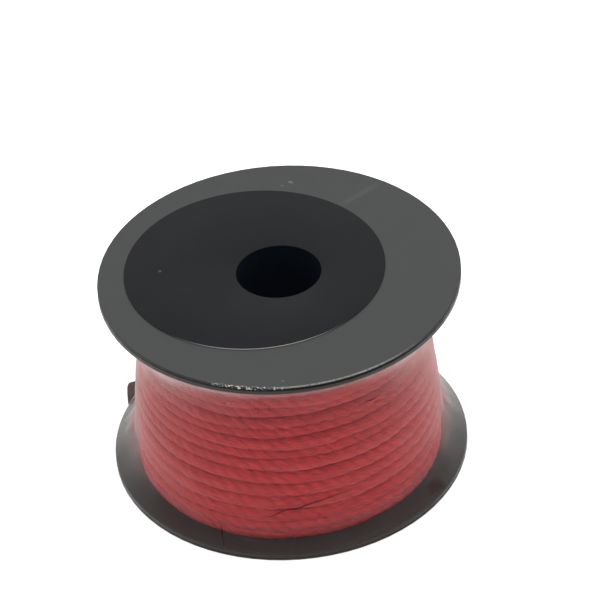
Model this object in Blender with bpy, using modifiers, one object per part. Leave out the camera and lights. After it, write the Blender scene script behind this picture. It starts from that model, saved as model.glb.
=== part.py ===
"""A reel of red twisted cord, wrapped in clear film.

Two equal flanges are pressed onto the ends of a barrel. Each flange carries half of the
arbor tube that the reel turns on. The cord starts inside the barrel, comes out through a
slot and is wound in seven layers. The reel's axis is Z and it stands on z = 0.
"""

import math

import bmesh
import bpy
from mathutils import Matrix, Vector

# Driving dimensions, in metres
FLANGE_RADIUS = 0.0425
REEL_HEIGHT = 0.052
FLANGE_THICKNESS = 0.002
BORE_RADIUS = 0.0102
ARBOR_WALL = 0.0012
BARREL_RADIUS = 0.0178
BARREL_WALL = 0.0016
CORD_DIAMETER = 0.003
WINDING_LOW_RADIUS = 0.037
WINDING_HIGH_RADIUS = 0.0340
LABEL_RADIUS = 0.030
LABEL_CENTRE = (-0.0056, 0.0022)
LABEL_THICKNESS = 0.00015
FILM_THICKNESS = 0.0003
GAP = 0.0003

# Details of the flanges
RIM_ROUND = 0.0003
RIM_GROOVE_HEIGHT = 0.0005
RIM_GROOVE_WIDTH = 0.0003
RIM_GROOVE_DEPTH = 0.00018
BORE_ROUND = 0.0006
TUBE_FOOT = 0.0005
RIB_COUNT = 4
RIB_THICKNESS = 0.0012
RIB_HEIGHT = 0.004
RIB_LEAD_IN = 0.0008
EMBED = 0.0004

# The winding is fuller at its foot than at its head, and changes between these heights
WINDING_FULL_BELOW = 0.008
WINDING_LEAN_ABOVE = 0.042
WINDING_EDGE = 0.0012

# The film touches the winding between these two distances from the flanges
FILM_FREE_LOW = 0.0095
FILM_FREE_HIGH = 0.0085
FILM_RIM_RADIUS = 0.0422
FILM_FLARE = 1.7

# The strip of tape at the bottom rim, whose front corner stands up.
# Each point of its top edge is an azimuth in degrees and a height
TAPE_TOP_EDGE = [
    (157.3, 0.0066),
    (156.9, 0.0076),
    (155.9, 0.0081),
    (154.4, 0.0077),
    (152.4, 0.0067),
    (150.0, 0.0057),
    (146.5, 0.0048),
    (142.0, 0.0043),
    (138.5, 0.0040),
    (137.2, 0.0034),
]
TAPE_FOOT = 0.0026
TAPE_RADIUS = 0.04232
TAPE_THICKNESS = 0.00035

# The cord's start, inside the barrel: radius, azimuth in degrees and height of each point
START_ROUTE = [
    (0.0162, 199.0, 0.0051),
    (0.0153, 204.0, 0.0052),
    (0.0143, 211.0, 0.0053),
    (0.0138, 221.0, 0.0054),
    (0.0138, 233.0, 0.0056),
    (0.0138, 245.0, 0.0058),
    (0.0138, 256.0, 0.0060),
]
START_POINTS = 25
SLOT_AZIMUTH = math.radians(196)
SLOT_HEIGHT = 0.0051
SLOT_LENGTH = 0.0108
SLOT_WIDTH = 0.0038

# Facets of the turned shapes
FLANGE_STEPS = 72
TUBE_STEPS = 48
SOFT_STEPS = 48
WINDING_ROWS = 9
FILM_ROWS = 14
TAPE_ROWS = 3

# Plain colours of the materials
BLACK_PLASTIC = (0.028, 0.028, 0.029)
LABEL_BLACK = (0.022, 0.023, 0.025)
CORD_RED = (0.42, 0.035, 0.045)
FILM_CLEAR = (0.9, 0.88, 0.87)
TAPE_BROWN = (0.2, 0.15, 0.13)

BARREL_LOW = FLANGE_THICKNESS + GAP
BARREL_HIGH = REEL_HEIGHT - FLANGE_THICKNESS - GAP


def clear_scene():
    for obj in list(bpy.data.objects):
        bpy.data.objects.remove(obj, do_unlink=True)


def new_collection(name):
    collection = bpy.data.collections.new(name)
    bpy.context.scene.collection.children.link(collection)
    return collection


def material(name, colour, roughness, metallic=0.0, alpha=1.0):
    mat = bpy.data.materials.new(name)
    mat.use_nodes = True
    shader = mat.node_tree.nodes["Principled BSDF"]
    shader.inputs["Base Color"].default_value = (*colour, 1.0)
    shader.inputs["Roughness"].default_value = roughness
    shader.inputs["Metallic"].default_value = metallic
    shader.inputs["Alpha"].default_value = alpha
    mat.diffuse_color = (*colour, alpha)
    return mat


def add_part(name, mesh, mat, collection):
    obj = bpy.data.objects.new(name, mesh)
    collection.objects.link(obj)
    mesh.materials.append(mat)
    return obj


def add_tool(name, mesh, collection):
    """A solid that cuts or joins another. It isn't a part of the reel."""
    obj = bpy.data.objects.new(name, mesh)
    collection.objects.link(obj)
    obj.hide_render = True
    obj.display_type = "WIRE"
    return obj


def smooth(obj, angle=math.radians(35)):
    """Shades the finished shape smooth with its sharp edges kept."""
    depsgraph = bpy.context.evaluated_depsgraph_get()
    mesh = bpy.data.meshes.new_from_object(obj.evaluated_get(depsgraph))
    obj.modifiers.clear()
    old = obj.data
    obj.data = mesh
    mesh.name = obj.name
    bpy.data.meshes.remove(old)
    mesh.shade_smooth()
    mesh.set_sharp_from_angle(angle=angle)


def arc(centre, radius, start, end, steps):
    """Points on an arc in the (radius, height) plane, angles in degrees from +X."""
    angles = [math.radians(start + (end - start) * i / steps) for i in range(steps + 1)]
    return [(centre[0] + radius * math.cos(a), centre[1] + radius * math.sin(a)) for a in angles]


def profile_mesh(name, points, closed):
    """A line through (radius, height) points on the +X side."""
    mesh = bpy.data.meshes.new(name)
    edges = [(i, i + 1) for i in range(len(points) - 1)]
    if closed:
        edges.append((len(points) - 1, 0))
    mesh.from_pydata([(r, 0.0, z) for r, z in points], edges, [])
    return mesh


def turn(obj, steps):
    screw = obj.modifiers.new("turn", "SCREW")
    screw.axis = "Z"
    screw.steps = steps
    screw.render_steps = steps
    screw.use_merge_vertices = True
    screw.merge_threshold = 0.00001


def boolean(obj, tool, operation):
    mod = obj.modifiers.new(operation.lower(), "BOOLEAN")
    mod.operation = operation
    mod.solver = "EXACT"
    mod.object = tool


def blend(value, low, high):
    """0 below low, 1 above high, and a smooth step between."""
    t = min(max((value - low) / (high - low), 0.0), 1.0)
    return t * t * (3 - 2 * t)


def winding_radius(z):
    lean = blend(z, WINDING_FULL_BELOW, WINDING_LEAN_ABOVE)
    return WINDING_LOW_RADIUS + (WINDING_HIGH_RADIUS - WINDING_LOW_RADIUS) * lean


def film_radius(z):
    """Middle of the film: against the winding at its waist, flared out to both rims."""
    waist = winding_radius(z) + GAP + FILM_THICKNESS / 2
    low = 1 - (z - FLANGE_THICKNESS) / FILM_FREE_LOW
    high = 1 - (REEL_HEIGHT - FLANGE_THICKNESS - z) / FILM_FREE_HIGH
    flare = max(low, high, 0.0) ** FILM_FLARE
    return waist + (FILM_RIM_RADIUS - waist) * flare


def flange_profile():
    """The bottom flange and its half of the arbor tube, from the inner face's rim round."""
    rim = FLANGE_RADIUS
    top = FLANGE_THICKNESS
    tube = BORE_RADIUS + ARBOR_WALL
    middle = (REEL_HEIGHT - GAP) / 2
    edge = RIM_ROUND
    points = arc((rim - edge, top - edge), edge, 90, 0, 3)
    points += [
        (rim, RIM_GROOVE_HEIGHT + RIM_GROOVE_WIDTH),
        (rim - RIM_GROOVE_DEPTH, RIM_GROOVE_HEIGHT + RIM_GROOVE_WIDTH / 2),
        (rim, RIM_GROOVE_HEIGHT),
    ]
    points += arc((rim - edge, edge), edge, 0, -90, 3)
    points += arc((BORE_RADIUS + BORE_ROUND, BORE_ROUND), BORE_ROUND, 270, 180, 4)
    points += [(BORE_RADIUS, middle), (tube, middle), (tube, top + TUBE_FOOT), (tube + TUBE_FOOT, top)]
    return points


def rib_mesh(name):
    """Ribs that centre the barrel, as plates from the arbor tube to the barrel's bore."""
    inner = BORE_RADIUS + ARBOR_WALL - EMBED
    outer = BARREL_RADIUS - BARREL_WALL - GAP
    low = FLANGE_THICKNESS - EMBED
    high = FLANGE_THICKNESS + RIB_HEIGHT
    bm = bmesh.new()
    for i in range(RIB_COUNT):
        cube = bmesh.ops.create_cube(bm, size=1.0)["verts"]
        bmesh.ops.scale(bm, vec=(outer - inner, RIB_THICKNESS, high - low), verts=cube)
        bmesh.ops.translate(bm, vec=((outer + inner) / 2, 0, (high + low) / 2), verts=cube)
        lead = [
            e
            for v in cube
            for e in v.link_edges
            if all(w.co.x > outer - EMBED and w.co.z > high - EMBED for w in e.verts)
        ]
        made = bmesh.ops.bevel(bm, geom=list(set(lead)), offset=RIB_LEAD_IN, segments=1, affect="EDGES")
        rib = {v for v in cube if v.is_valid} | set(made["verts"])
        spin = Matrix.Rotation(math.tau * i / RIB_COUNT, 3, "Z")
        bmesh.ops.rotate(bm, cent=(0, 0, 0), matrix=spin, verts=list(rib))
    mesh = bpy.data.meshes.new(name)
    bm.to_mesh(mesh)
    bm.free()
    return mesh


def make_flange(name, colour, parts, tools):
    flange = add_part(name, profile_mesh(name, flange_profile(), closed=True), colour, parts)
    turn(flange, FLANGE_STEPS)
    ribs = add_tool(f"{name}_ribs", rib_mesh(f"{name}_ribs"), tools)
    boolean(flange, ribs, "UNION")
    smooth(flange)
    return flange


def make_barrel(colour, parts, tools):
    bore = BARREL_RADIUS - BARREL_WALL
    edge = GAP
    points = [
        (BARREL_RADIUS - edge, BARREL_HIGH),
        (BARREL_RADIUS, BARREL_HIGH - edge),
        (BARREL_RADIUS, BARREL_LOW + edge),
        (BARREL_RADIUS - edge, BARREL_LOW),
        (bore + edge, BARREL_LOW),
        (bore, BARREL_LOW + edge),
        (bore, BARREL_HIGH - edge),
        (bore + edge, BARREL_HIGH),
    ]
    barrel = add_part("barrel", profile_mesh("barrel", points, closed=True), colour, parts)
    turn(barrel, TUBE_STEPS)
    bm = bmesh.new()
    bmesh.ops.create_cube(bm, size=1.0)
    bmesh.ops.scale(bm, vec=(BARREL_RADIUS / 2, SLOT_LENGTH, SLOT_WIDTH), verts=bm.verts)
    ends = [e for e in bm.edges if abs(e.verts[0].co.x - e.verts[1].co.x) > EMBED]
    bmesh.ops.bevel(bm, geom=ends, offset=SLOT_WIDTH / 2 - EMBED / 4, segments=6, affect="EDGES")
    mesh = bpy.data.meshes.new("barrel_slot")
    bm.to_mesh(mesh)
    bm.free()
    slot = add_tool("barrel_slot", mesh, tools)
    middle = BARREL_RADIUS - BARREL_WALL / 2
    slot.location = (middle * math.cos(SLOT_AZIMUTH), middle * math.sin(SLOT_AZIMUTH), SLOT_HEIGHT)
    slot.rotation_euler = (0, 0, SLOT_AZIMUTH)
    bpy.context.view_layer.update()
    boolean(barrel, slot, "DIFFERENCE")
    smooth(barrel)


def cylinder_mesh(name, radius, depth, steps):
    bm = bmesh.new()
    bmesh.ops.create_cone(
        bm, cap_ends=True, segments=steps, radius1=radius, radius2=radius, depth=depth
    )
    mesh = bpy.data.meshes.new(name)
    bm.to_mesh(mesh)
    bm.free()
    return mesh


def make_label(colour, parts, tools):
    """An off-centre paper disc on the top flange, cut through at the bore."""
    disc = cylinder_mesh("label", LABEL_RADIUS, LABEL_THICKNESS, FLANGE_STEPS)
    label = add_part("label", disc, colour, parts)
    height = REEL_HEIGHT + GAP + LABEL_THICKNESS / 2
    label.location = (*LABEL_CENTRE, height)
    hole_mesh = cylinder_mesh("label_hole", BORE_RADIUS + BORE_ROUND, REEL_HEIGHT / 10, TUBE_STEPS)
    hole = add_tool("label_hole", hole_mesh, tools)
    hole.location = (0, 0, height)
    bpy.context.view_layer.update()
    boolean(label, hole, "DIFFERENCE")
    smooth(label)


def make_winding(colour, parts):
    """The outer shape of all the turns, as one turned ring."""
    low, high = BARREL_LOW, BARREL_HIGH
    step = (high - low - 2 * WINDING_EDGE) / WINDING_ROWS
    heights = [high - WINDING_EDGE - step * i for i in range(WINDING_ROWS + 1)]
    inner = BARREL_RADIUS + GAP
    points = [(winding_radius(high) - WINDING_EDGE, high)]
    points += [(winding_radius(z), z) for z in heights]
    points += [(winding_radius(low) - WINDING_EDGE, low), (inner, low), (inner, high)]
    winding = add_part("cord_winding", profile_mesh("cord_winding", points, closed=True), colour, parts)
    turn(winding, SOFT_STEPS)
    smooth(winding)


def polar(radius, azimuth, height):
    return Vector((radius * math.cos(azimuth), radius * math.sin(azimuth), height))


def smooth_line(points, count):
    """A Catmull-Rom curve through the points, read at even steps of its parameter."""
    padded = [2 * points[0] - points[1], *points, 2 * points[-1] - points[-2]]
    line = []
    for i in range(count):
        s = (len(points) - 1) * i / (count - 1)
        k = min(int(s), len(points) - 2)
        t = s - k
        a, b, c, d = padded[k : k + 4]
        square = (2 * a - 5 * b + 4 * c - d) * t**2
        cube = (3 * b - a - 3 * c + d) * t**3
        line.append((2 * b + (c - a) * t + square + cube) / 2)
    return line


def make_start(colour, parts):
    """The inner end of the cord, tucked round the arbor tube inside the barrel."""
    route = [polar(r, math.radians(a), z) for r, a, z in START_ROUTE]
    line = smooth_line(route, START_POINTS)
    curve = bpy.data.curves.new("cord_start", "CURVE")
    curve.dimensions = "3D"
    spline = curve.splines.new("POLY")
    spline.points.add(len(line) - 1)
    for point, place in zip(spline.points, line):
        point.co = (*place, 1.0)
    curve.bevel_depth = CORD_DIAMETER / 2
    curve.bevel_resolution = 2
    curve.use_fill_caps = True
    start = bpy.data.objects.new("cord_start", curve)
    parts.objects.link(start)
    curve.materials.append(colour)


def make_film(colour, parts):
    """The clear wrap: rim to rim, drawn in over the winding."""
    low = FLANGE_THICKNESS + GAP + FILM_THICKNESS
    high = REEL_HEIGHT - low
    heights = [high + (low - high) * i / FILM_ROWS for i in range(FILM_ROWS + 1)]
    points = [(film_radius(z), z) for z in heights]
    film = add_part("film_wrap", profile_mesh("film_wrap", points, closed=False), colour, parts)
    turn(film, SOFT_STEPS)
    shell = film.modifiers.new("thickness", "SOLIDIFY")
    shell.thickness = FILM_THICKNESS
    shell.offset = 0
    smooth(film)


def make_tape(colour, parts):
    """A strip of tape stuck to the film along the bottom rim. It follows the rim's circle."""
    bm = bmesh.new()
    columns = []
    for azimuth, top in TAPE_TOP_EDGE:
        heights = [TAPE_FOOT + (top - TAPE_FOOT) * i / TAPE_ROWS for i in range(TAPE_ROWS + 1)]
        columns.append([bm.verts.new(polar(TAPE_RADIUS, math.radians(azimuth), z)) for z in heights])
    for left, right in zip(columns, columns[1:]):
        for i in range(TAPE_ROWS):
            bm.faces.new((right[i], left[i], left[i + 1], right[i + 1]))
    mesh = bpy.data.meshes.new("film_tape")
    bm.to_mesh(mesh)
    bm.free()
    tape = add_part("film_tape", mesh, colour, parts)
    shell = tape.modifiers.new("thickness", "SOLIDIFY")
    shell.thickness = TAPE_THICKNESS
    shell.offset = 0
    smooth(tape)


def main():
    clear_scene()
    parts = new_collection("cord_reel")
    tools = new_collection("tools")
    make_flange("bottom_flange", material("black_plastic_low", BLACK_PLASTIC, 0.42), parts, tools)
    top = make_flange("top_flange", material("black_plastic_high", BLACK_PLASTIC, 0.42), parts, tools)
    top.location = (0, 0, REEL_HEIGHT)
    top.rotation_euler = (math.pi, 0, 0)
    make_barrel(material("barrel_plastic", BLACK_PLASTIC, 0.5), parts, tools)
    make_label(material("label_paper", LABEL_BLACK, 0.75), parts, tools)
    make_winding(material("cord_red", CORD_RED, 0.85), parts)
    make_start(material("cord_red_start", CORD_RED, 0.85), parts)
    make_film(material("clear_film", FILM_CLEAR, 0.2, alpha=0.25), parts)
    make_tape(material("brown_tape", TAPE_BROWN, 0.5), parts)


main()
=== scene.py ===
"""Looks of the cord reel: the wound cord, its clear wrap, the label, the tape and the plastic."""

import math

import bpy
import numpy as np
from mathutils import Matrix, Vector


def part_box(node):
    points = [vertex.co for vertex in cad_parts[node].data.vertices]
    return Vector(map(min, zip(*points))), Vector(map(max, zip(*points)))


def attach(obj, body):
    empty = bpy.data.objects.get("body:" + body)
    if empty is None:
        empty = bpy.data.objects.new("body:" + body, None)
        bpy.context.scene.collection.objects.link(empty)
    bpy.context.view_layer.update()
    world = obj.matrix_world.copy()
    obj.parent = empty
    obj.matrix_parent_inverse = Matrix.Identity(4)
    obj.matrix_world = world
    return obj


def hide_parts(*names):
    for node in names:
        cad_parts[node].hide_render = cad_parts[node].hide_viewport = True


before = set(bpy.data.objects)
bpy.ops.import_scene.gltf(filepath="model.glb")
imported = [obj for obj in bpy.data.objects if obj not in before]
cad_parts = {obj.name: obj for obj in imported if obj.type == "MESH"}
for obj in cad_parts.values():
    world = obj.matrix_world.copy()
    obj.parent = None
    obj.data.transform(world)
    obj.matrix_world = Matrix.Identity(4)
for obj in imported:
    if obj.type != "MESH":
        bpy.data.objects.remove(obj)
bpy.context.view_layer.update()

TAU = math.tau

# Sizes read from the frame, in metres
REEL_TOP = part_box("top_flange")[1].z
RIM_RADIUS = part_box("bottom_flange")[1].x
WINDING_LOW, WINDING_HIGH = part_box("cord_winding")
BARREL_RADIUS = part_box("barrel")[1].x
LABEL_LOW, LABEL_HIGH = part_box("label")
LABEL_RADIUS = (LABEL_HIGH.x - LABEL_LOW.x) / 2
LABEL_CENTRE = ((LABEL_LOW.x + LABEL_HIGH.x) / 2, (LABEL_LOW.y + LABEL_HIGH.y) / 2)

# The plates' inner faces, as part.py has them: the winding keeps 0.3 mm to each
GAP = 0.0003
INNER_LOW = WINDING_LOW.z - GAP
INNER_HIGH = WINDING_HIGH.z + GAP

# The bore's radius, and the distance that the cord and the film keep to the plastic
BORE_RADIUS = 0.0102
CLEARANCE = 0.0001

# The winding's outline: full at its foot, leaner at its head
WINDING_LOW_RADIUS = 0.037
WINDING_HIGH_RADIUS = 0.0340
FULL_BELOW = 0.008
LEAN_ABOVE = 0.042

# The cord. The last layer has a wider pitch up to a height, and a closer one above it
CORD_DIAMETER = 0.003
CORD_LAY = 0.0100
LAYERS = 7
INNER_TURNS = 15
LAST_TURNS = 16
LAST_PITCH_LOW = 0.0034
LAST_PITCH_CHANGE = 0.022

# The cord's start inside the barrel, as part.py has it: radius, azimuth in degrees, height
START_ROUTE = [
    (0.0162, 199.0, 0.0051),
    (0.0153, 204.0, 0.0052),
    (0.0143, 211.0, 0.0053),
    (0.0138, 221.0, 0.0054),
    (0.0138, 233.0, 0.0056),
    (0.0138, 245.0, 0.0058),
    (0.0138, 256.0, 0.0060),
]

# From the slot, along the outside of the barrel, toward the first turn
LEAD_OUT = [
    (0.0172, 194.0, 0.0050),
    (0.0183, 188.0, 0.0048),
    (0.0190, 180.0, 0.0046),
]


# ---------------------------------------------------------------- small helpers


def blend(value, low, high):
    """0 below low, 1 above high, and a smooth step between."""
    t = np.clip((value - low) / (high - low), 0, 1)
    return t * t * (3 - 2 * t)


def winding_radius(z):
    """The winding's outer radius at a height."""
    lean = blend(z, FULL_BELOW, LEAN_ABOVE)
    return WINDING_LOW_RADIUS + (WINDING_HIGH_RADIUS - WINDING_LOW_RADIUS) * lean


def polar(radius, azimuth, height):
    """Points from arrays of radius, azimuth in radians and height."""
    return np.stack([radius * np.cos(azimuth), radius * np.sin(azimuth), height + 0 * azimuth], axis=-1)


def spot(radius, degrees, height):
    """One point, with its azimuth in degrees."""
    return polar(radius, np.array(math.radians(degrees)), height)


def new_object(name, vertices, faces, materials):
    """A smooth-shaded mesh object with these materials."""
    mesh = bpy.data.meshes.new(name)
    mesh.from_pydata([tuple(v) for v in vertices], [], [tuple(f) for f in faces])
    mesh.validate()
    for mat in materials:
        mesh.materials.append(mat)
    mesh.shade_smooth()
    obj = bpy.data.objects.new(name, mesh)
    bpy.context.scene.collection.objects.link(obj)
    return obj


def grid_faces(rows, columns, closed):
    """Quads of a rows x columns grid of points, whose columns may run round in a ring."""
    steps = columns if closed else columns - 1
    r, c = np.meshgrid(np.arange(rows - 1), np.arange(steps), indexing="ij")
    r, c = r.ravel(), c.ravel()
    n = (c + 1) % columns
    corners = [r * columns + c, r * columns + n, (r + 1) * columns + n, (r + 1) * columns + c]
    return np.stack(corners, axis=1)


def add_attribute(obj, name, kind, values):
    """A value or a vector stored on each point of the mesh, for its material to read."""
    attribute = obj.data.attributes.new(name, kind, "POINT")
    field = "vector" if kind == "FLOAT_VECTOR" else "value"
    attribute.data.foreach_set(field, values.astype(np.float32).ravel())


class Nodes:
    """A material's node tree, with short calls to add to it.

    A socket is named with _ for each space, or numbered as i0, i1 and so on.
    """

    def __init__(self, name, **sockets):
        self.material = bpy.data.materials.new(name)
        self.material.use_nodes = True
        self.tree = self.material.node_tree
        self.shader = self.tree.nodes["Principled BSDF"]
        for socket, value in sockets.items():
            self.shader.inputs[socket.replace("_", " ")].default_value = value

    def add(self, kind, settings=(), **inputs):
        """A new node, with its settings and the values or links of its inputs."""
        node = self.tree.nodes.new(kind)
        for key, value in dict(settings).items():
            setattr(node, key, value)
        for key, value in inputs.items():
            name = int(key[1:]) if key[1:].isdigit() else key.replace("_", " ")
            self.put(node.inputs[name], value)
        return node

    def put(self, socket, value):
        if isinstance(value, bpy.types.NodeSocket):
            self.tree.links.new(value, socket)
        else:
            socket.default_value = value

    def math(self, operation, a, b=0.0, clamp=False):
        settings = {"operation": operation, "use_clamp": clamp}
        return self.add("ShaderNodeMath", settings, i0=a, i1=b).outputs[0]

    def product(self, first, *others):
        """All the values multiplied, in the order given."""
        for other in others:
            first = self.math("MULTIPLY", first, other)
        return first

    def place(self):
        """The point's place in the frame, in metres."""
        return self.add("ShaderNodeTexCoord").outputs["Object"]

    def attribute(self, name, output):
        return self.add("ShaderNodeAttribute", {"attribute_name": name}).outputs[output]

    def noise(self, place, scale, detail, roughness=0.5, shift=(0, 0, 0)):
        """Noise with about scale waves to the metre along each axis."""
        vector = self.add("ShaderNodeMapping", Vector=place, Scale=scale, Location=shift).outputs[0]
        inputs = {"Vector": vector, "Scale": 1.0, "Detail": detail, "Roughness": roughness}
        return self.add("ShaderNodeTexNoise", **inputs).outputs["Fac"]

    def ramp(self, value, low, high, to_low=0.0, to_high=1.0):
        """A smooth step from to_low, where value is low, to to_high, where it is high."""
        node = self.add(
            "ShaderNodeMapRange", {"interpolation_type": "SMOOTHSTEP"},
            Value=value, From_Min=low, From_Max=high, To_Min=to_low, To_Max=to_high,
        )
        return node.outputs[0]

    def mix(self, factor, a, b):
        """Colour a where factor is 0, and b where it is 1."""
        node = self.add("ShaderNodeMix", {"data_type": "RGBA"})
        self.put(node.inputs[0], factor)
        self.put(node.inputs[6], a)
        self.put(node.inputs[7], b)
        return node.outputs[2]

    def bump(self, height, distance, strength):
        return self.add("ShaderNodeBump", Height=height, Distance=distance, Strength=strength).outputs[0]

    def speck(self, place, radius, degrees, size, base, strength):
        """The base colour with one pale fleck of dust on the reel's top."""
        point = tuple(spot(radius, degrees, REEL_TOP))
        apart = self.add("ShaderNodeVectorMath", {"operation": "DISTANCE"}, i0=place, i1=point)
        fleck = self.ramp(apart.outputs["Value"], size * 0.4, size, strength, 0.0)
        return self.mix(fleck, base, (0.45, 0.44, 0.42, 1))

    def set(self, **sockets):
        for socket, value in sockets.items():
            self.put(self.shader.inputs[socket.replace("_", " ")], value)


# ---------------------------------------------------------------- camera

CAMERA_ELEVATION = math.radians(38.89)
CAMERA_DISTANCE = 0.868
CAMERA_ROLL = math.radians(-4.29)
CAMERA_PAN = math.radians(0.2315)
CAMERA_TILT = math.radians(0.922)
CAMERA_LENS = 219.4
SENSOR_WIDTH = 36.0


def make_camera():
    """The photograph's view: turned to the reel's middle, then rolled, panned and tilted."""
    data = bpy.data.cameras.new("camera")
    data.lens = CAMERA_LENS
    data.sensor_width = SENSOR_WIDTH
    data.clip_start = 0.01
    camera = bpy.data.objects.new("camera", data)
    bpy.context.scene.collection.objects.link(camera)
    back = Vector((0, -math.cos(CAMERA_ELEVATION), math.sin(CAMERA_ELEVATION)))
    ahead = -back
    right = Vector((1, 0, 0))
    up = right.cross(ahead)
    right, up = (
        right * math.cos(CAMERA_ROLL) + up * math.sin(CAMERA_ROLL),
        up * math.cos(CAMERA_ROLL) - right * math.sin(CAMERA_ROLL),
    )
    ahead, right = (
        ahead * math.cos(CAMERA_PAN) + right * math.sin(CAMERA_PAN),
        right * math.cos(CAMERA_PAN) - ahead * math.sin(CAMERA_PAN),
    )
    ahead, up = (
        ahead * math.cos(CAMERA_TILT) + up * math.sin(CAMERA_TILT),
        up * math.cos(CAMERA_TILT) - ahead * math.sin(CAMERA_TILT),
    )
    turn = Matrix((right, up, -ahead)).transposed().to_4x4()
    # the fitted view looks at the reel's middle, without its label
    target = Vector((0, 0, REEL_TOP / 2))
    camera.matrix_world = Matrix.Translation(target + back * CAMERA_DISTANCE) @ turn
    bpy.context.scene.camera = camera


make_camera()


# ---------------------------------------------------------------- the cord's route

FIRST_HEIGHT = INNER_LOW + CORD_DIAMETER / 2 + CLEARANCE
LAST_HEIGHT = INNER_HIGH - CORD_DIAMETER / 2 - CLEARANCE
FIRST_RADIUS = BARREL_RADIUS + CORD_DIAMETER / 2
FIRST_AZIMUTH = math.radians(172)
FIRST_RISE = 0.0009
CHANGE_AZIMUTH = math.radians(100)
STEP = math.radians(1.2)
LEAD_POINTS = 60

# Turns that a layer lies level against a flange before it climbs or comes down
DWELL = 0.4
LAST_DWELL = 0.9

# The last layer's turns rise toward the right by this much, and its foot stands out at the front left
TURN_LEAN = 0.0021
FOOT_SWELL = 0.00115
FOOT_SWELL_AZIMUTH = -1.92


def layer(number):
    """(turns, height, share of the way out to the next layer) along one layer.

    The layers change behind the reel.
    """
    rise = LAST_HEIGHT - FIRST_HEIGHT
    if number < LAYERS - 1:
        total = INNER_TURNS + (FIRST_AZIMUTH - CHANGE_AZIMUTH) / TAU * (number == 0)
        turns = np.arange(0, total, STEP / TAU)
        height = FIRST_HEIGHT + rise * np.clip((turns - DWELL) / (total - 2 * DWELL), 0, 1)
        if number % 2:
            height = FIRST_HEIGHT + LAST_HEIGHT - height
        return turns, height, blend(turns, total - DWELL, total)
    turns = np.arange(0, LAST_TURNS, STEP / TAU)
    wide = LAST_DWELL + (LAST_PITCH_CHANGE - FIRST_HEIGHT) / LAST_PITCH_LOW
    corners = [0, LAST_DWELL, wide, LAST_TURNS - DWELL, LAST_TURNS]
    heights = [FIRST_HEIGHT, FIRST_HEIGHT, LAST_PITCH_CHANGE, LAST_HEIGHT, LAST_HEIGHT]
    return turns, np.interp(turns, corners, heights), turns * 0


def cord_route():
    """Centreline of the cord from its tucked start to its outer end, and each point's layer."""
    azimuths, shares, heights, layers = [], [], [], []
    azimuth = FIRST_AZIMUTH
    for number in range(LAYERS):
        turns, height, out = layer(number)
        azimuths.append(azimuth - turns * TAU)
        shares.append(number + out)
        heights.append(height)
        layers.append(np.full(len(turns), number))
        azimuth = azimuths[-1][-1] - STEP
    azimuth = np.concatenate(azimuths)
    share = np.concatenate(shares) / (LAYERS - 1)
    height = np.concatenate(heights)
    number = np.concatenate(layers)
    z = height + wander(azimuth, height, number)
    outer = winding_radius(height) - CORD_DIAMETER / 2 - CLEARANCE
    radius = FIRST_RADIUS + (outer - FIRST_RADIUS) * share + swell(azimuth, height, number)
    first = blend(azimuth, FIRST_AZIMUTH - 1.2, FIRST_AZIMUTH)
    z = z + first * FIRST_RISE
    wound = polar(radius, azimuth, z)
    lead = np.array([spot(*place) for place in START_ROUTE[::-1] + LEAD_OUT])
    lead = smooth_line(np.vstack([lead, wound[:1]]), LEAD_POINTS)[:-1]
    return np.vstack([lead, wound]), np.concatenate([np.zeros(len(lead)), number])


def wander(azimuth, height, number):
    """How far a turn lies above or below its even place. Neighbours share most of it."""
    last = (number == LAYERS - 1).astype(float)
    free = blend(height, FIRST_HEIGHT, FIRST_HEIGHT + 0.008)
    free = free * blend(-height, -LAST_HEIGHT, -LAST_HEIGHT + 0.009)
    lean = TURN_LEAN * blend(height, 0.014, 0.041) * np.cos(azimuth)
    waves = 0.00030 * np.sin(2 * azimuth + 1.3 + height * 110)
    waves += 0.00022 * np.sin(3 * azimuth - 0.7 + height * 170)
    own = 0.00026 * np.sin(azimuth * 1.37)
    own += 0.00018 * np.sin(azimuth * 2.61 + 2)
    own += 0.00006 * np.sin(azimuth * 7.3)
    return free * (last * (lean + waves) + own)


def swell(azimuth, height, number):
    """Turns pressed a little further out or in than the ones beside them."""
    close = blend(height, 0.020, 0.026)
    turns = azimuth / TAU
    own = 0.00016 * np.cos(math.pi * turns) * close
    own += 0.00009 * np.sin(azimuth * 1.83)
    own += 0.00005 * np.sin(azimuth * 5.9)
    return (number == LAYERS - 1) * (own - 0.0002 + foot_swell(azimuth, height))


def foot_swell(azimuth, height):
    """The foot of the winding stands further out at the front left than anywhere else."""
    out = FOOT_SWELL * np.exp(2.5 * np.cos(azimuth - FOOT_SWELL_AZIMUTH) - 2.5) - 0.0004
    return out * (1 - blend(height, 0.010, 0.030))


def smooth_line(points, count):
    """A Catmull-Rom curve through the points, read at even steps of its parameter."""
    padded = np.vstack([2 * points[0] - points[1], points, 2 * points[-1] - points[-2]])
    s = np.linspace(0, len(points) - 1, count)
    k = np.minimum(s.astype(int), len(points) - 2)
    t = (s - k)[:, None]
    a, b, c, d = (padded[k + i] for i in range(4))
    square = 2 * a - 5 * b + 4 * c - d
    cube = 3 * b - a - 3 * c + d
    return 0.5 * (2 * b + (c - a) * t + square * t**2 + cube * t**3)


def lengths(line):
    """How far along the line each of its points is."""
    return np.concatenate([[0], np.cumsum(np.linalg.norm(np.diff(line, axis=0), axis=1))])


def respaced(line, number, spacing):
    """The line at points whose distance apart is spacing[layer], and how far along each is."""
    along = lengths(line)
    steps = np.diff(along) / np.array(spacing)[number[1:].astype(int)]
    count = np.concatenate([[0], np.cumsum(steps)])
    wanted = np.linspace(0, count[-1], int(count[-1]) + 1)
    at = np.interp(wanted, count, along)
    points = np.stack([np.interp(at, along, line[:, i]) for i in range(3)], axis=1)
    return points, at


# ---------------------------------------------------------------- the cord's surface

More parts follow.
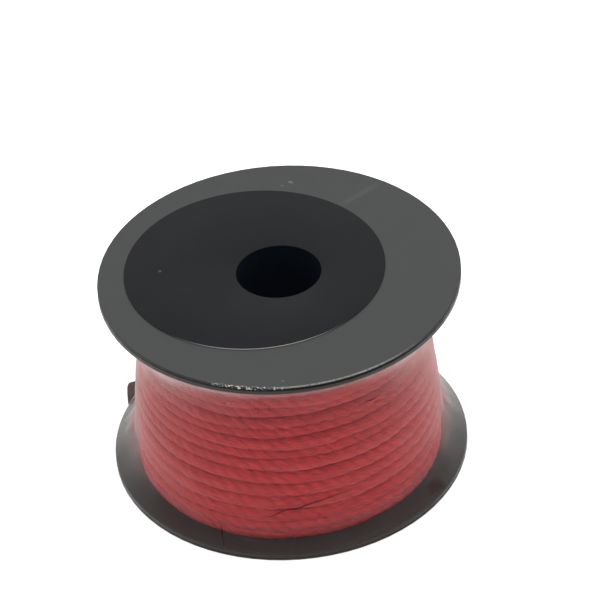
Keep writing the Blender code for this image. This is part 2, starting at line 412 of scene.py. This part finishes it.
# A strand's outline, from one groove to the next, as shares of the cord's own
STRANDS = 3
STRAND_LOBE = (0.93, 0.98, 1.0, 0.98)

# Half widths outward and toward the next turn, where turns press together, and how square it is
SECTION_OUT = 0.00145
SECTION_SIDE = 0.0022
SECTION_POWER = 4.0

# The share of the strands' turning by which the fibres in them lag behind
FIBRE_LAG = 0.35

# Distance between the cord's rings in each layer: the hidden layers are coarser
SPACING = [0.009] * (LAYERS - 2) + [0.0016, 0.0008]


def section_radius(angle):
    """Half width of the cord, pressed flatter between its neighbours, at an angle from outward."""
    out = np.abs(np.cos(angle)) / SECTION_OUT
    side = np.abs(np.sin(angle)) / SECTION_SIDE
    return (out**SECTION_POWER + side**SECTION_POWER) ** (-1 / SECTION_POWER)


def make_cord(material):
    """The cord as one closed tube: (object, centreline, length)."""
    route, number = cord_route()
    line, along = respaced(route, number, SPACING)
    ahead = np.gradient(line, axis=0)
    ahead /= np.linalg.norm(ahead, axis=1)[:, None]
    outward = line * np.array([1, 1, 0])
    outward -= (outward * ahead).sum(1)[:, None] * ahead
    outward /= np.linalg.norm(outward, axis=1)[:, None]
    side = np.cross(ahead, outward)
    lobe = np.tile(STRAND_LOBE, STRANDS)
    angle = np.arange(len(lobe)) / len(lobe) * TAU
    twist = along / CORD_LAY * TAU
    turned = angle[None, :] + twist[:, None]
    reach = section_radius(turned) * lobe
    points = line[:, None, :] + reach[..., None] * (
        np.cos(turned)[..., None] * outward[:, None, :] + np.sin(turned)[..., None] * side[:, None, :]
    )
    rings, around = len(line), len(angle)
    faces = [tuple(f) for f in grid_faces(rings, around, closed=True)]
    faces.append(tuple(range(around)))
    faces.append(tuple(range((rings - 1) * around, rings * around))[::-1])
    cord = new_object("wound_cord", points.reshape(-1, 3), faces, [material])
    lagging = turned - FIBRE_LAG * twist[:, None]
    fibre = np.empty((rings, around, 3))
    fibre[..., 0] = along[:, None]
    fibre[..., 1] = CORD_DIAMETER / 2 * np.cos(lagging)
    fibre[..., 2] = CORD_DIAMETER / 2 * np.sin(lagging)
    add_attribute(cord, "fibre", "FLOAT_VECTOR", fibre)
    crest = (lobe - lobe.min()) / (lobe.max() - lobe.min())
    add_attribute(cord, "crest", "FLOAT", np.tile(crest, rings))
    return cord, line, float(lengths(line)[-1])


def cord_material():
    """Matte red fibre: streaks along the yarns, pale loose threads, and painted shade in the grooves
    between strands.
    """
    n = Nodes(
        "red_cord",
        Roughness=0.8,
        Specular_IOR_Level=0.25,
        Subsurface_Weight=0.6,
        Subsurface_Scale=0.0016,
        Subsurface_Radius=(1.0, 0.45, 0.45),
        Sheen_Weight=0.25,
        Sheen_Roughness=0.5,
        Sheen_Tint=(1.0, 0.62, 0.6, 1.0),
    )
    fibre = n.attribute("fibre", "Vector")
    crest = n.attribute("crest", "Fac")
    threads = n.noise(fibre, (700, 7000, 7000), 4.0, 0.6)
    patches = n.noise(fibre, (60, 300, 300), 3.0)
    yarns = n.noise(fibre, (420, 2300, 2300), 2.0)
    red = n.mix(patches, (0.33, 0.011, 0.018, 1), (0.455, 0.021, 0.028, 1))
    red = n.mix(n.ramp(threads, 0.35, 0.75), red, (0.52, 0.052, 0.056, 1))
    red = n.mix(n.ramp(yarns, 0.38, 0.55, 0.45, 0.0), red, (0.22, 0.009, 0.013, 1))
    # painted shade: the cord's colour darkens toward the grooves between its strands
    red = n.mix(n.ramp(crest, 0.0, 0.8, 0.50, 0.0), red, (0.22, 0.012, 0.016, 1))
    n.set(Base_Color=red, Normal=n.bump(threads, 0.00012, 0.8))
    return n.material


cord, cord_line, cord_length = make_cord(cord_material())
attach(cord, "root")
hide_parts("cord_winding", "cord_start")


# ---------------------------------------------------------------- the clear film

# The film leaves the winding this far from each flange, and flares out to the rims with this power
FILM_FREE_LOW = 0.0095
FILM_FREE_HIGH = 0.0085
FILM_FLARE = 1.7
FILM_OFFSET = 0.0002
FILM_CREASE = 0.0001
FILM_RIPPLE = 0.00005
FILM_ROWS = 120
FILM_COLUMNS = 480

# The painted fold shadows and fold highlights stand this much proud of the film
FOLD_MARK_OFFSET = 0.00012


def bump(azimuth, centre, width):
    """1 at an azimuth in degrees, falling to 0 about twice its width away."""
    return np.exp((np.cos(azimuth - math.radians(centre)) - 1) / math.radians(width) ** 2)


def film_radius(z, azimuth):
    """The film lies on the winding at its waist and flares out to both rims."""
    waist = winding_radius(z) + FILM_OFFSET + foot_swell(azimuth, z)
    free_high = FILM_FREE_HIGH + 0.006 * bump(azimuth, 190, 28) + 0.004 * bump(azimuth, -20, 28)
    low = 1 - (z - INNER_LOW) / FILM_FREE_LOW
    high = 1 - (INNER_HIGH - z) / free_high
    flare = np.maximum(np.maximum(low, high), 0) ** FILM_FLARE
    return waist + (RIM_RADIUS - CLEARANCE - waist) * flare


def film_points():
    """Rings of points from the top rim to the bottom rim: creases where it is free, ripples on the cord."""
    rows = np.linspace(0, 1, FILM_ROWS)
    height = INNER_HIGH + (INNER_LOW - INNER_HIGH) * rows
    azimuth = np.linspace(0, TAU, FILM_COLUMNS, endpoint=False)
    a, z = np.meshgrid(azimuth, height)
    radius = film_radius(z, a)
    free_low = 1 - (z - INNER_LOW) / FILM_FREE_LOW
    free_high = 1 - (INNER_HIGH - z) / FILM_FREE_HIGH
    free = np.clip(np.maximum(free_low, free_high), 0, 1)
    pull = np.sin(math.pi * free)
    creases = np.sin(a * 9 + 1.5 * np.sin(a * 2))
    creases += 0.6 * np.sin(a * 23 + 2 * np.sin(a * 3))
    creases += 0.4 * np.sin(a * 41)
    radius = radius + FILM_CREASE * pull * creases
    ripple = np.sin(a * 4 + z * 300) * np.sin(z * 700 + a) * FILM_RIPPLE
    radius = radius + ripple * (1 - free)
    return polar(radius, a, z)


def film_veil(azimuth, height):
    """Haze: most at the sides near the top, some at the foot behind, and a little all round."""
    right = 0.06 + 0.58 * blend(height, 0.018, 0.042)
    left = 0.05 + 0.60 * blend(height, 0.026, 0.042)
    sides = right * bump(azimuth, -8, 30) + left * bump(azimuth, 190, 28)
    foot = 0.30 * bump(azimuth, 34, 25) + 0.17 * bump(azimuth, 168, 18)
    veil = sides * blend(height, 0.0, 0.010)
    veil += blend(-height, -0.0125, -0.0045) * foot
    around = 0.19 - 0.13 * blend(height, 0.034, 0.044) * bump(azimuth, -72, 24)
    return veil + around * blend(height, 0.0045, 0.009)


def film_cord_light(azimuth, height):
    """How much painted red light from the cord the film's haze carries: less at the sides and toward both
    rims.
    """
    high = blend(height, 0.032, 0.046)
    right = (0.40 + 0.45 * high) * bump(azimuth, -4, 26)
    left = (0.45 + 0.45 * high) * bump(azimuth, 187, 26)
    return (1 - (right + left)) * (1 - 0.5 * high) * blend(height, 0.005, 0.009)


# Painted shadows and painted highlights along the film's folds: points of azimuth in degrees and height in
# millimetres, then the width in millimetres and the strength
LONG_FOLD_SHADOW = [(-102, 10.0), (-98.5, 10.0), (-94, 11.6), (-90, 11.8), (-85, 12.7), (-77, 13.6), (-67, 14.0)]
# painted shadows along folds of the film
PAINTED_FOLD_SHADOWS = [
    (LONG_FOLD_SHADOW, 0.5, 1.0),
    ([(-62, 35.3), (-58.5, 35.5), (-56.5, 35.3), (-50, 35.8)], 0.4, 0.9),
    ([(-118, 7.0), (-116.5, 6.0), (-115.5, 4.0), (-114.5, 2.4)], 0.5, 0.6),
    ([(-39, 4.8), (-37, 3.9), (-35, 3.0), (-33, 2.1)], 5.5, 0.32),
]
# painted highlights along folds of the film
PAINTED_FOLD_HIGHLIGHTS = [
    ([(-124, 38.4), (-117, 39.1), (-113, 40.0), (-108, 40.7)], 0.5, 0.35),
    ([(-158, 45.0), (-149, 42.5), (-139, 41.0), (-130, 40.5)], 2.4, 0.12),
    ([(-60, 43.5), (-48, 42.5), (-38, 42.6), (-28, 43.5)], 0.8, 0.12),
    ([(-112, 5.2), (-106, 4.4), (-98, 4.0)], 0.35, 0.14),
    ([(-84, 2.7), (-70, 2.6), (-56, 2.8), (-46, 3.2)], 0.30, 0.12),
]


def fold_mark_mesh(points, width, strength):
    """A thin ribbon on the film for a painted fold shadow or fold highlight, strongest along its middle:
    (points, faces, veil).
    """
    line = smooth_line(np.array(points) * (math.pi / 180, 0.001), 12 * len(points))
    azimuth, height = line.T
    middle = polar(film_radius(height, azimuth) + FOLD_MARK_OFFSET, azimuth, height)
    ahead = np.gradient(middle, axis=0)
    side = np.cross(ahead, middle * np.array([1, 1, 0]))
    side /= np.linalg.norm(side, axis=1)[:, None]
    taper = np.sin(math.pi * np.linspace(0.02, 0.98, len(line))) ** 0.6
    half = (width * 0.0005 * taper)[:, None]
    rows = np.stack([middle - side * half, middle, middle + side * half], axis=1)
    veil = np.stack([0 * taper, strength * taper, 0 * taper], axis=1)
    return rows.reshape(-1, 3), grid_faces(len(line), 3, closed=False), veil.ravel()


def film_material():
    """Clear film: nearly clear face on, and milky at grazing angles and where its veil is strong."""
    n = Nodes("clear_film", Metallic=0.12, Roughness=0.25, Specular_IOR_Level=0.0)
    place = n.place()
    facing = n.add("ShaderNodeLayerWeight", Blend=0.5).outputs["Facing"]
    edge = n.product(n.math("POWER", facing, 5.0), 0.9)
    clouds = n.ramp(n.noise(place, (60, 60, 25), 4.0), 0.45, 0.8, 0.0, 0.02)
    patches = n.noise(place, (110, 110, 60), 4.0, shift=(0.3, 0.1, 0.7))
    patches = n.ramp(patches, 0.25, 0.7, 0.75, 1.1)
    grazing = n.ramp(facing, 0.1, 0.85, 0.45, 1.2)
    veil = n.product(n.attribute("veil", "Fac"), n.product(patches, grazing))
    haze = n.math("ADD", n.math("ADD", edge, clouds), veil)
    haze = n.math("ADD", haze, 0.015, clamp=True)
    # the tint is painted red light from the cord, carried in the film's haze
    base = n.mix(n.attribute("tint", "Fac"), (0.51, 0.485, 0.465, 1), (0.40, 0.115, 0.115, 1))
    creases = n.noise(place, (220, 220, 60), 2.0)
    n.set(Base_Color=base, Alpha=haze, Normal=n.bump(creases, 0.0001, 0.25))
    return n.material


def fold_shadow_material():
    """A painted shadow of a fold: a dark ribbon, which fades out at both edges."""
    n = Nodes("film_fold_shadow", Roughness=0.6, Specular_IOR_Level=0.1, Base_Color=(0.030, 0.002, 0.003, 1))
    n.set(Alpha=n.math("POWER", n.attribute("veil", "Fac"), 0.7))
    return n.material


def make_film():
    """The wrap and its ribbons of painted fold shadows and fold highlights in one mesh, with the veil of
    each point and its tint of painted red light from the cord.
    """
    grid = film_points().reshape(-1, 3)
    pieces = [(grid, grid_faces(FILM_ROWS, FILM_COLUMNS, closed=True)[:, ::-1], 0)]
    veils = [film_veil(np.arctan2(grid[:, 1], grid[:, 0]), grid[:, 2])]
    # each ribbon is a painted highlight or a painted shadow along a fold
    for creases, mat in ((PAINTED_FOLD_HIGHLIGHTS, 0), (PAINTED_FOLD_SHADOWS, 1)):
        for crease in creases:
            points, faces, veil = fold_mark_mesh(*crease)
            pieces.append((points, faces, mat))
            veils.append(veil)
    starts = np.cumsum([0] + [len(points) for points, _, _ in pieces])
    vertices = np.vstack([points for points, _, _ in pieces])
    faces = np.vstack([faces + start for (_, faces, _), start in zip(pieces, starts)])
    film = new_object("film", vertices, faces, [film_material(), fold_shadow_material()])
    mats = np.concatenate([np.full(len(faces), mat, np.int32) for _, faces, mat in pieces])
    film.data.polygons.foreach_set("material_index", mats)
    add_attribute(film, "veil", "FLOAT", np.concatenate(veils))
    tint = film_cord_light(np.arctan2(vertices[:, 1], vertices[:, 0]), vertices[:, 2])
    add_attribute(film, "tint", "FLOAT", tint)
    return film


film = make_film()
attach(film, "root")
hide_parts("film_wrap")


# ---------------------------------------------------------------- the label

LABEL_THICKNESS = 0.00028
LABEL_EDGE_ROUND = 0.00003
LABEL_STEPS = 256

# The label hangs a little over the bore, and reaches past its CAD outline, more so left and right
LABEL_HOLE = BORE_RADIUS - 0.0002
LABEL_EXTRA = 0.0002
LABEL_OVAL = 0.0004


def label_materials():
    """Matte black paper on top, and its cut edge: bare at the front and back, inked at the sides."""
    n = Nodes("label_print", Roughness=0.85, Specular_IOR_Level=0.16)
    place = n.place()
    grain = n.noise(place, (2600, 2600, 2600), 4.0, 0.6)
    tone = n.noise(place, (90, 90, 90), 3.0)
    ink = n.mix(tone, (0.0108, 0.0112, 0.0124, 1), (0.0145, 0.0150, 0.0164, 1))
    ink = n.speck(place, 0.0279, 173, 0.0006, ink, 0.16)
    n.set(Base_Color=ink, Normal=n.bump(grain, 0.00002, 0.5))
    edge = Nodes("label_edge", Roughness=0.9)
    place = edge.place()
    fibres = edge.noise(place, (4000, 4000, 9000), 3.0)
    paper = edge.mix(fibres, (0.34, 0.34, 0.33, 1), (0.62, 0.61, 0.59, 1))
    x = edge.add("ShaderNodeSeparateXYZ", Vector=place).outputs["X"]
    aside = edge.math("ABSOLUTE", edge.math("SUBTRACT", x, LABEL_CENTRE[0]))
    inked = edge.ramp(aside, 0.007, 0.022)
    edge.set(Base_Color=edge.mix(inked, paper, (0.013, 0.0134, 0.0146, 1)))
    return [n.material, edge.material]


def make_label():
    """A ring from the bore to the label's own off-centre outline, with thin paper edges."""
    azimuth = np.linspace(0, TAU, LABEL_STEPS, endpoint=False)
    cx, cy = LABEL_CENTRE
    along = cx * np.cos(azimuth) + cy * np.sin(azimuth)
    reach = along + np.sqrt(along**2 + LABEL_RADIUS**2 - cx**2 - cy**2)
    reach = reach + LABEL_EXTRA + LABEL_OVAL * np.cos(azimuth) ** 2
    hole = LABEL_HOLE + 0 * azimuth
    low = REEL_TOP + 0.00001
    high = REEL_TOP + LABEL_THICKNESS
    soft = LABEL_EDGE_ROUND
    rings = [
        polar(hole, azimuth, low),
        polar(hole, azimuth, high - soft),
        polar(hole + soft, azimuth, high),
        polar((hole + reach) / 2, azimuth, high),
        polar(reach - soft, azimuth, high),
        polar(reach, azimuth, high - soft),
        polar(reach, azimuth, low),
    ]
    points = np.stack(rings)
    faces = grid_faces(len(rings), LABEL_STEPS, closed=True)[:, ::-1]
    label = new_object("label_disc", points.reshape(-1, 3), faces, label_materials())
    rows = np.repeat(np.arange(len(rings) - 1), LABEL_STEPS)
    outer_edge = rows == len(rings) - 2
    label.data.polygons.foreach_set("material_index", outer_edge.astype(np.int32))
    label.data.set_sharp_from_angle(angle=math.radians(50))
    return label


label = make_label()
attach(label, "root")
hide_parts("label")


# ---------------------------------------------------------------- the plastic

# The smear on the top face: where it starts, its direction and its length
SMEAR_START = (0.0158, 0.0244)
SMEAR_AHEAD = (0.794, 0.608)
SMEAR_LENGTH = 0.0143

# Flecks of dust on the top face: radius, azimuth in degrees, size, strength
FLECKS = [
    (0.0355, 83, 0.0006, 0.16),
    (0.0352, 82.3, 0.0005, 0.12),
    (0.0340, 86, 0.0005, 0.10),
]

# Painted shade fills the groove that runs round the top rim's side, this far below the top face
GROOVE_DEPTH = 0.00068

# Faces whose middle is nearer the axis than this line the bore
BORE_WALL = BORE_RADIUS + 0.0005


def rim_groove_shade(n, azimuth, z, side):
    """Painted shade in the groove round the top rim's side: a dark line, fainter at the left."""
    off = n.math("ABSOLUTE", n.math("SUBTRACT", z, REEL_TOP - GROOVE_DEPTH))
    front_left = n.ramp(azimuth, -2.2, -1.3, 0.45, 1.0)
    back_left = n.ramp(azimuth, 2.0, 3.14, 1.0, 0.45)
    return n.product(n.ramp(off, 0.00020, 0.00052, 1.0, 0.0), side, front_left, back_left)


def top_smear(n, x, y, z):
    """A pale rubbed line across the top face, which fades in and out."""
    dx = n.math("SUBTRACT", x, SMEAR_START[0])
    dy = n.math("SUBTRACT", y, SMEAR_START[1])
    along = n.math("ADD", n.product(dx, SMEAR_AHEAD[0]), n.product(dy, SMEAR_AHEAD[1]))
    across = n.math("SUBTRACT", n.product(dx, SMEAR_AHEAD[1]), n.product(dy, SMEAR_AHEAD[0]))
    line = n.ramp(n.math("ABSOLUTE", across), 0.0002, 0.0013, 1.0, 0.0)
    top = n.ramp(z, REEL_TOP - 0.0002, REEL_TOP - 0.00005)
    begins = n.ramp(along, -0.002, 0.004)
    ends = n.ramp(along, SMEAR_LENGTH - 0.004, SMEAR_LENGTH, 1.0, 0.0)
    return n.product(line, top, begins, ends)


def scattered_dust(n, place):
    """Sparse small dots, in a few of the cells."""
    cells = n.add("ShaderNodeTexVoronoi", Vector=place, Scale=150.0).outputs
    return n.product(n.ramp(cells["Distance"], 0.03, 0.06, 1.0, 0.0), n.ramp(cells["Color"], 0.90, 0.92))


def painted_edge_highlight(n, place, radius, azimuth, z):
    """A painted highlight: a pale broken line along the top rim's edge, in front and a little to the right.
    """
    out = n.ramp(radius, RIM_RADIUS - 0.00042, RIM_RADIUS - 0.0002)
    up = n.ramp(z, REEL_TOP - 0.00032, REEL_TOP - 0.00018)
    front = n.product(n.ramp(azimuth, -1.75, -1.5), n.ramp(azimuth, -1.15, -0.65, 1.0, 0.0))
    chips = n.ramp(n.noise(place, (1500, 1500, 1500), 3.0), 0.3, 0.6, 0.35, 1.0)
    return n.product(out, up, front, chips)


def edge_scuffs(n, place, radius, azimuth, z):
    """Small white scuffs that cross the top rim's edge, at the front left."""
    out = n.ramp(radius, RIM_RADIUS - 0.0007, RIM_RADIUS - 0.0003)
    up = n.ramp(z, REEL_TOP - 0.00075, REEL_TOP - 0.0005)
    front = n.product(n.ramp(azimuth, -2.04, -1.88), n.ramp(azimuth, -1.68, -1.54, 1.0, 0.0))
    chips = n.ramp(n.noise(place, (1900, 1900, 1500), 4.0, 0.65), 0.53, 0.60)
    return n.product(out, up, front, chips)


def plastic_material():
    """Black moulded plastic, with dust and wear; painted shade makes the rims' sides darker and browner and
    fills the groove round the top rim's side, and a painted highlight runs along the top rim's edge.
    """
    n = Nodes("black_plastic", Specular_IOR_Level=0.45)
    place = n.place()
    x, y, z = n.add("ShaderNodeSeparateXYZ", Vector=place).outputs
    radius = n.math("SQRT", n.math("ADD", n.product(x, x), n.product(y, y)))
    azimuth = n.math("ARCTAN2", y, x)
    side = n.ramp(radius, RIM_RADIUS - 0.00025, RIM_RADIUS - 0.00008)
    groove = rim_groove_shade(n, azimuth, z, side)
    edge_highlight = painted_edge_highlight(n, place, radius, azimuth, z)
    scuffs = edge_scuffs(n, place, radius, azimuth, z)

    tone = n.noise(place, (45, 45, 45), 4.0)
    base = n.mix(tone, (0.0225, 0.0240, 0.0236, 1), (0.0256, 0.0271, 0.0267, 1))
    # painted shade: the rims' sides darker and browner
    base = n.mix(side, base, (0.0095, 0.0075, 0.0065, 1))
    # painted shade in the groove round the top rim's side
    base = n.mix(groove, base, (0.0015, 0.0015, 0.0015, 1))
    base = n.mix(n.product(top_smear(n, x, y, z), 0.07), base, (0.20, 0.20, 0.19, 1))
    base = n.mix(n.product(scattered_dust(n, place), 0.22), base, (0.40, 0.39, 0.37, 1))
    for fleck_radius, degrees, size, strength in FLECKS:
        base = n.speck(place, fleck_radius, degrees, size, base, strength)
    # painted highlight along the top rim's edge
    base = n.mix(n.product(edge_highlight, 0.7), base, (0.32, 0.32, 0.31, 1))
    base = n.mix(scuffs, base, (0.52, 0.50, 0.48, 1))

    # painted shade: the rims' sides shine less, and least at the right and behind
    shaded_sides = n.product(n.ramp(azimuth, -1.1, -0.3), n.ramp(azimuth, 2.0, 3.14, 1.0, 0.0))
    shine = n.mix(side, (1, 1, 1, 1), (0.72, 0.66, 0.62, 1))
    shine = n.mix(n.product(side, shaded_sides), shine, (0.10, 0.10, 0.10, 1))
    shine = n.mix(groove, shine, (0.12, 0.12, 0.12, 1))

    rough = n.ramp(n.noise(place, (120, 120, 120), 5.0, 0.6), 0.4, 0.75, 0.36, 0.50)
    rough = n.math("ADD", rough, n.product(n.math("ADD", scuffs, edge_highlight), 0.4), clamp=True)
    grain = n.noise(place, (3000, 3000, 3000), 3.0)
    n.set(Base_Color=base, Specular_Tint=shine, Roughness=rough, Normal=n.bump(grain, 0.00001, 0.5))
    return n.material


def bore_shade_material():
    """Painted shade on the bore's wall: matte and nearly black."""
    n = Nodes("bore_painted_shade", Roughness=0.9, Specular_IOR_Level=0.06)
    grain = n.noise(n.place(), (2000, 2000, 600), 3.0)
    n.set(Base_Color=n.mix(grain, (0.0040, 0.0064, 0.0115, 1), (0.0066, 0.0100, 0.0170, 1)))
    return n.material


plastic = plastic_material()
bore = bore_shade_material()
for node in ("bottom_flange", "top_flange", "barrel"):
    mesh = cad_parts[node].data
    mesh.materials.clear()
    mesh.materials.append(plastic)
    # the second slot holds the painted shade of the bore's wall
    mesh.materials.append(bore)
    for face in mesh.polygons:
        face.material_index = int(face.center.xy.length < BORE_WALL)


# ---------------------------------------------------------------- the tape

# Its top edge, as part.py has it: azimuth in degrees and height
TAPE_TOP_EDGE = [
    (157.3, 0.0066),
    (156.9, 0.0076),
    (155.9, 0.0081),
    (154.4, 0.0077),
    (152.4, 0.0067),
    (150.0, 0.0057),
    (146.5, 0.0048),
    (142.0, 0.0043),
    (138.5, 0.0040),
    (137.2, 0.0034),
]
TAPE_FOOT = 0.0021
TAPE_RADIUS = 0.0424
TAPE_THICKNESS = 0.00008
TAPE_RIPPLE = 0.0001
TAPE_LEAN = 0.0002
TAPE_COLUMNS = 60
TAPE_ROWS = 16


def tape_material():
    """Thin brown tape with upright streaks."""
    n = Nodes("brown_tape", Roughness=0.35, Alpha=0.8)
    streaks = n.noise(n.place(), (2500, 2500, 300), 3.0)
    n.set(
        Base_Color=n.mix(streaks, (0.20, 0.14, 0.115, 1), (0.28, 0.205, 0.17, 1)),
        Normal=n.bump(streaks, 0.00003, 0.6),
    )
    return n.material


def make_tape():
    """A strip stuck to the film along the bottom rim, whose front corner stands up."""
    edge = smooth_line(np.array(TAPE_TOP_EDGE) * (math.pi / 180, 1), TAPE_COLUMNS)
    share = np.linspace(0, 1, TAPE_ROWS)
    azimuth = edge[:, :1] + 0 * share
    height = TAPE_FOOT + (edge[:, 1:] - TAPE_FOOT) * share
    ripple = TAPE_RIPPLE * np.sin(azimuth * 60) * share
    points = polar(TAPE_RADIUS + ripple - TAPE_LEAN * share**2, azimuth, height)
    faces = grid_faces(TAPE_COLUMNS, TAPE_ROWS, closed=False)
    tape = new_object("tape_strip", points.reshape(-1, 3), faces, [tape_material()])
    shell = tape.modifiers.new("thickness", "SOLIDIFY")
    shell.thickness = TAPE_THICKNESS
    shell.offset = 0
    return tape


tape = make_tape()
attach(tape, "root")
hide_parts("film_tape")

film_width = float(lengths(film_points()[:, 0, :])[-1])


# ---------------------------------------------------------------- floor and light

FLOOR_HEIGHT = -0.00005
FLOOR_HALF_WIDTH = 3
FLOOR_GLOW = 0.42

# The way from the reel to the darkest part of the room, and how bright the room is there
DARK_SIDE = (0, -0.78, 0.62)
DARK_STRENGTH = 0.35


def make_floor():
    """A pale floor just under the reel."""
    w = FLOOR_HALF_WIDTH
    corners = [(-w, -w, FLOOR_HEIGHT), (w, -w, FLOOR_HEIGHT), (w, w, FLOOR_HEIGHT), (-w, w, FLOOR_HEIGHT)]
    floor = new_object("floor", corners, [(0, 1, 2, 3)], [floor_material()])


def floor_material():
    """Off-white, with a glow of its own that keeps it pale to the edges."""
    return Nodes(
        "floor",
        Roughness=0.9,
        Base_Color=(0.92, 0.92, 0.92, 1),
        Specular_IOR_Level=0.0,
        Emission_Color=(1, 1, 1, 1),
        Emission_Strength=FLOOR_GLOW,
    ).material


def make_light(name, place, size, power, target):
    """A round soft light at place, which shines toward target."""
    data = bpy.data.lights.new(name, "AREA")
    data.shape = "DISK"
    data.size = size
    data.energy = power
    light = bpy.data.objects.new(name, data)
    bpy.context.scene.collection.objects.link(light)
    light.location = place
    light.rotation_euler = (Vector(target) - Vector(place)).to_track_quat("-Z", "Y").to_euler()


def make_world():
    """A white room, darker above the front of the reel than at its sides and behind it."""
    world = bpy.data.worlds.new("studio")
    world.use_nodes = True
    nodes, links = world.node_tree.nodes, world.node_tree.links
    background = nodes["Background"]
    background.inputs["Color"].default_value = (1, 1, 1, 1)
    direction = nodes.new("ShaderNodeTexCoord").outputs["Generated"]
    toward = nodes.new("ShaderNodeVectorMath")
    toward.operation = "DOT_PRODUCT"
    toward.inputs[1].default_value = DARK_SIDE
    links.new(direction, toward.inputs[0])
    dim = nodes.new("ShaderNodeMapRange")
    dim.interpolation_type = "SMOOTHSTEP"
    links.new(toward.outputs["Value"], dim.inputs["Value"])
    for name, value in (("From Min", 0.3), ("From Max", 0.95), ("To Min", 1.0), ("To Max", DARK_STRENGTH)):
        dim.inputs[name].default_value = value
    links.new(dim.outputs[0], background.inputs["Strength"])
    bpy.context.scene.world = world


make_floor()
make_world()
make_light("key", place=(0.03, -0.2, 1.1), size=1.1, power=8.8, target=(0, 0, 0.02))
bpy.context.scene.view_settings.view_transform = "Standard"
